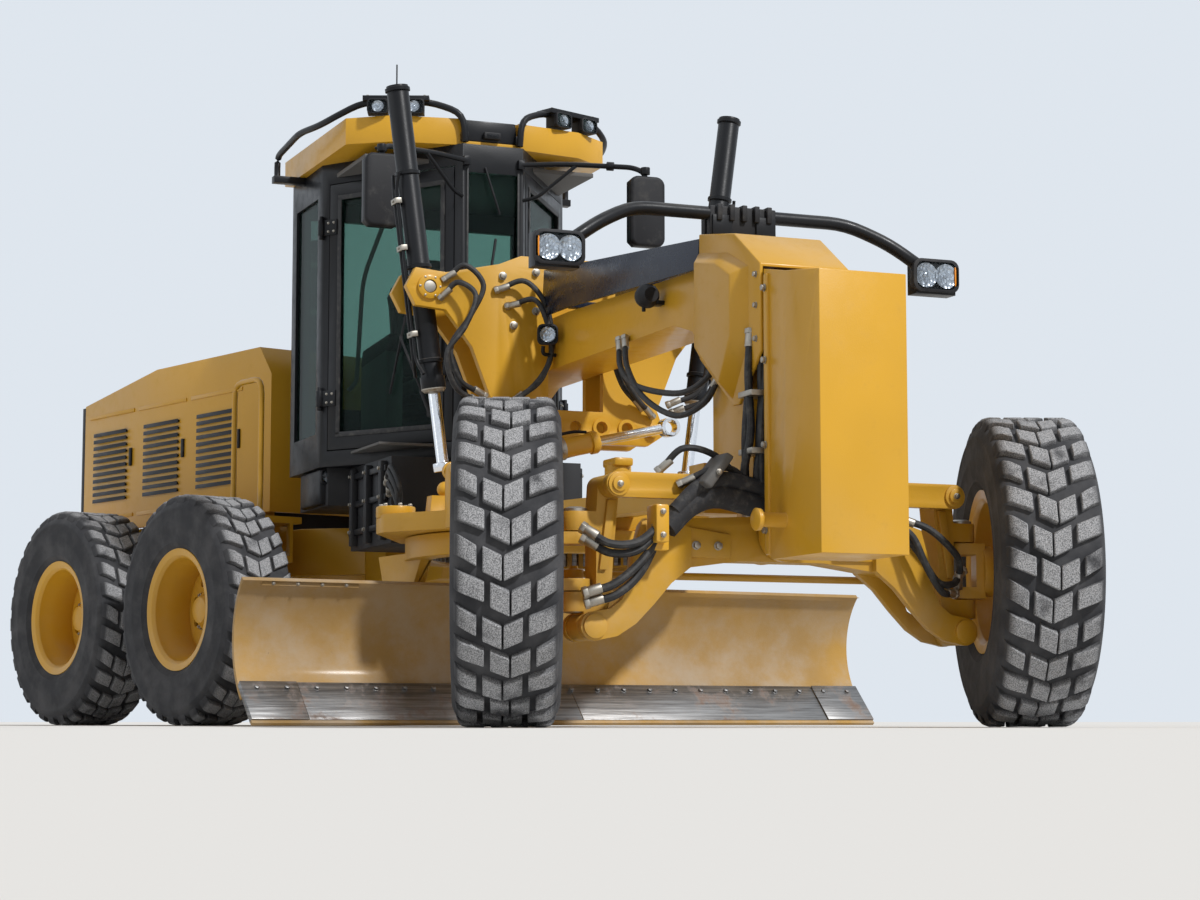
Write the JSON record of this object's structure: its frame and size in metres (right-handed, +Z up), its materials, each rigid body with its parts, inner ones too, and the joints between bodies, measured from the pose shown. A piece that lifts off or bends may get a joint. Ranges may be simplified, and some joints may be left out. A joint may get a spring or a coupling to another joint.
{
  "type": "motor grader",
  "caption": "Articulated road grader with tandem rear wheels, leaning steered front wheels, cab with two doors, and a turning, side-shifting blade under an arched frame.",
  "frame": {"origin": "middle of the machine's box on the ground, with the machine standing as parked", "axes": "+X along the front frame towards the front weight, +Y to the machine's left, +Z up"},
  "size_m": [8.9241, 4.0525, 3.8999],
  "materials": {
    "yellow_paint": "satin golden yellow paint",
    "black_paint": "satin black paint",
    "tyre_rubber": "dusty black rubber",
    "glass": "clear safety glass",
    "seat_fabric": "woven dark grey cloth",
    "bare_steel": "worn steel",
    "chrome": "polished hard chrome"
  },
  "bodies": {
    "rear_frame": {"rear_frame": "yellow_paint", "rear_rails": "yellow_paint", "engine": "black_paint", "engine_hood": "yellow_paint", "radiator_grille": "black_paint", "exhaust_stack": "black_paint", "walkways": "yellow_paint", "rear_axle": "yellow_paint"},
    "tandem_right": {"tandem_right": "yellow_paint"},
    "tandem_left": {"tandem_left": "yellow_paint"},
    "wheel_right_mid": {"tyre_right_mid": "tyre_rubber", "rim_right_mid": "yellow_paint"},
    "wheel_right_rear": {"tyre_right_rear": "tyre_rubber", "rim_right_rear": "yellow_paint"},
    "wheel_left_mid": {"tyre_left_mid": "tyre_rubber", "rim_left_mid": "yellow_paint"},
    "wheel_left_rear": {"tyre_left_rear": "tyre_rubber", "rim_left_rear": "yellow_paint"},
    "front_frame": {"front_frame": "yellow_paint", "saddle": "yellow_paint", "nose_cover": "yellow_paint", "front_weight": "yellow_paint", "side_covers": "black_paint", "headlight_bar": "black_paint", "cab_frame": "black_paint", "cab_roof": "yellow_paint", "cab_glass": "glass", "cab_base": "black_paint", "seat": "seat_fabric", "controls": "black_paint", "light_frames": "black_paint"},
    "door_right": {"door_right": "black_paint", "door_right_glass": "glass"},
    "door_left": {"door_left": "black_paint", "door_left_glass": "glass"},
    "front_axle": {"front_axle": "yellow_paint"},
    "fork_right": {"fork_right": "yellow_paint"},
    "fork_left": {"fork_left": "yellow_paint"},
    "lean_bar": {"lean_bar": "yellow_paint"},
    "knuckle_right": {"knuckle_right": "yellow_paint"},
    "knuckle_left": {"knuckle_left": "yellow_paint"},
    "tie_rod_ball": {"tie_rod_ball": "bare_steel"},
    "tie_rod": {"tie_rod": "bare_steel"},
    "wheel_front_right": {"tyre_front_right": "tyre_rubber", "rim_front_right": "yellow_paint"},
    "wheel_front_left": {"tyre_front_left": "tyre_rubber", "rim_front_left": "yellow_paint"},
    "lift_barrel_right": {"lift_barrel_right": "black_paint"},
    "lift_rod_right": {"lift_rod_right": "chrome"},
    "lift_barrel_left": {"lift_barrel_left": "black_paint"},
    "lift_rod_left": {"lift_rod_left": "chrome"},
    "drawbar_ball": {"drawbar_ball": "bare_steel"},
    "drawbar": {"drawbar": "yellow_paint"},
    "circle": {"circle": "yellow_paint"},
    "blade_carrier": {"blade_carrier": "yellow_paint"},
    "moldboard": {"moldboard": "yellow_paint"},
    "shift_barrel": {"shift_barrel": "yellow_paint"},
    "shift_rod": {"shift_rod": "chrome"}
  },
  "joints": [
    {"name": "articulation", "type": "hinge", "parent": "rear_frame", "child": "front_frame", "pos_m": [-0.908, 0.044, 0.975], "axis": [0, 0, 1], "range_deg": [-3.4, 36.6]},
    {"name": "tandem_right_pivot", "type": "hinge", "parent": "rear_frame", "child": "tandem_right", "pos_m": [-2.24115, -0.97952, 0.675], "axis": [-0.2857, 0.9583, 0], "range_deg": [-15, 15]},
    {"name": "wheel_right_mid_spin", "type": "hinge", "parent": "tandem_right", "child": "wheel_right_mid", "pos_m": [-1.37664, -1.21224, 0.675], "axis": [-0.2857, 0.9583, 0], "continuous": true},
    {"name": "wheel_right_rear_spin", "type": "hinge", "parent": "tandem_right", "child": "wheel_right_rear", "pos_m": [-2.83712, -1.64763, 0.675], "axis": [-0.2857, 0.9583, 0], "continuous": true},
    {"name": "tandem_left_pivot", "type": "hinge", "parent": "rear_frame", "child": "tandem_left", "pos_m": [-2.58398, 0.17046, 0.675], "axis": [-0.2857, 0.9583, 0], "range_deg": [-15, 15]},
    {"name": "wheel_left_mid_spin", "type": "hinge", "parent": "tandem_left", "child": "wheel_left_mid", "pos_m": [-1.98801, 0.83857, 0.675], "axis": [-0.2857, 0.9583, 0], "continuous": true},
    {"name": "wheel_left_rear_spin", "type": "hinge", "parent": "tandem_left", "child": "wheel_left_rear", "pos_m": [-3.44849, 0.40318, 0.675], "axis": [-0.2857, 0.9583, 0], "continuous": true},
    {"name": "axle_oscillation", "type": "hinge", "parent": "front_frame", "child": "front_axle", "pos_m": [3.642, 0.044, 0.8], "axis": [1, 0, 0], "range_deg": [-16, 16]},
    {"name": "wheel_lean", "type": "hinge", "parent": "front_axle", "child": "fork_right", "pos_m": [3.642, -0.816, 0.41], "axis": [1, 0, 0], "range_deg": [-18, 18]},
    {"name": "wheel_lean_left", "type": "hinge", "parent": "front_axle", "child": "fork_left", "pos_m": [3.642, 0.904, 0.41], "axis": [1, 0, 0], "range_deg": [-18.5, 18.5]},
    {"name": "lean_bar_pin", "type": "hinge", "parent": "fork_right", "child": "lean_bar", "pos_m": [3.642, -0.736, 0.985], "axis": [1, 0, 0], "range_deg": [-22, 22]},
    {"name": "steering", "type": "hinge", "parent": "fork_right", "child": "knuckle_right", "pos_m": [3.642, -0.859, 0.675], "axis": [0, 0, 1], "range_deg": [-27.5, 67.5]},
    {"name": "steering_left", "type": "hinge", "parent": "fork_left", "child": "knuckle_left", "pos_m": [3.642, 0.947, 0.675], "axis": [0, 0, 1], "range_deg": [-27.6, 67.6]},
    {"name": "tie_rod_ball_turn", "type": "hinge", "parent": "knuckle_right", "child": "tie_rod_ball", "pos_m": [3.40708, -0.77349, 0.64], "axis": [0, 0, 1], "range_deg": [-68, 28]},
    {"name": "tie_rod_ball_tilt", "type": "hinge", "parent": "tie_rod_ball", "child": "tie_rod", "pos_m": [3.40708, -0.77349, 0.64], "axis": [1, 0, 0], "range_deg": [-18, 18]},
    {"name": "wheel_front_right_spin", "type": "hinge", "parent": "knuckle_right", "child": "wheel_front_right", "pos_m": [3.54623, -1.12211, 0.675], "axis": [0.342, 0.9397, 0], "continuous": true},
    {"name": "wheel_front_left_spin", "type": "hinge", "parent": "knuckle_left", "child": "wheel_front_left", "pos_m": [3.73777, 1.21011, 0.675], "axis": [0.342, 0.9397, 0], "continuous": true},
    {"name": "door_right_hinge", "type": "hinge", "parent": "front_frame", "child": "door_right", "pos_m": [-0.73856, -0.71704, 2.35], "axis": [0, 0, -1], "range_deg": [0, 110]},
    {"name": "door_left_hinge", "type": "hinge", "parent": "front_frame", "child": "door_left", "pos_m": [-0.73856, 0.80504, 2.35], "axis": [0, 0, 1], "range_deg": [0, 110]},
    {"name": "centre_shift", "type": "hinge", "parent": "front_frame", "child": "drawbar_ball", "pos_m": [3.222, 0.044, 1.04], "axis": [0, 0, 1], "range_deg": [-10, 10]},
    {"name": "blade_lift", "type": "hinge", "parent": "drawbar_ball", "child": "drawbar", "pos_m": [3.222, 0.044, 1.04], "axis": [0, 1, 0], "range_deg": [-15, 10]},
    {"name": "circle_turn", "type": "hinge", "parent": "drawbar", "child": "circle", "pos_m": [1.042, 0.044, 0.9], "axis": [0, 0, 1], "continuous": true},
    {"name": "blade_tip", "type": "hinge", "parent": "circle", "child": "blade_carrier", "pos_m": [0.64524, -0.00683, 0.28], "axis": [-0.1271, 0.9919, 0], "range_deg": [-5, 40]},
    {"name": "side_shift", "type": "slide", "parent": "blade_carrier", "child": "moldboard", "axis": [0.1271, -0.9919, 0], "range_m": [-0.387, 0.713]},
    {"name": "lift_barrel_right_yoke", "type": "hinge", "parent": "front_frame", "child": "lift_barrel_right", "pos_m": [1.242, -0.746, 2.19], "axis": [1, 0, 0], "range_deg": [-26, 26]},
    {"name": "lift_rod_right_slide", "type": "slide", "parent": "lift_barrel_right", "child": "lift_rod_right", "axis": [0, -0.1328, 0.9911], "range_m": [-0.56, 0.38]},
    {"name": "lift_barrel_left_yoke", "type": "hinge", "parent": "front_frame", "child": "lift_barrel_left", "pos_m": [1.242, 0.834, 2.19], "axis": [1, 0, 0], "range_deg": [-26, 26]},
    {"name": "lift_rod_left_slide", "type": "slide", "parent": "lift_barrel_left", "child": "lift_rod_left", "axis": [0, 0.1328, 0.9911], "range_m": [-0.56, 0.38]},
    {"name": "shift_barrel_pin", "type": "hinge", "parent": "drawbar", "child": "shift_barrel", "pos_m": [1.582, -0.676, 1.25], "axis": [1, 0, 0], "range_deg": [-30, 40]},
    {"name": "shift_rod_slide", "type": "slide", "parent": "shift_barrel", "child": "shift_rod", "axis": [0, 0.975, 0.2224], "range_m": [-0.34, 0.34]}
  ],
  "couplings": [
    {"joint": "wheel_lean_left", "follows": "wheel_lean", "ratio": 1},
    {"joint": "lean_bar_pin", "follows": "wheel_lean", "ratio": -1.11},
    {"joint": "steering_left", "follows": "steering", "ratio": 1},
    {"joint": "tie_rod_ball_turn", "follows": "steering", "ratio": -1},
    {"joint": "tie_rod_ball_tilt", "follows": "wheel_lean", "ratio": -0.952},
    {"joint": "lift_barrel_right_yoke", "follows": "centre_shift", "ratio": -2.03},
    {"joint": "lift_rod_right_slide", "follows": "blade_lift", "m_per_rad": 2},
    {"joint": "lift_barrel_left_yoke", "follows": "centre_shift", "ratio": -2.03},
    {"joint": "lift_rod_left_slide", "follows": "blade_lift", "m_per_rad": 2},
    {"joint": "shift_barrel_pin", "follows": "blade_lift", "ratio": -1.3},
    {"joint": "shift_rod_slide", "follows": "centre_shift", "m_per_rad": 1.7}
  ]
}
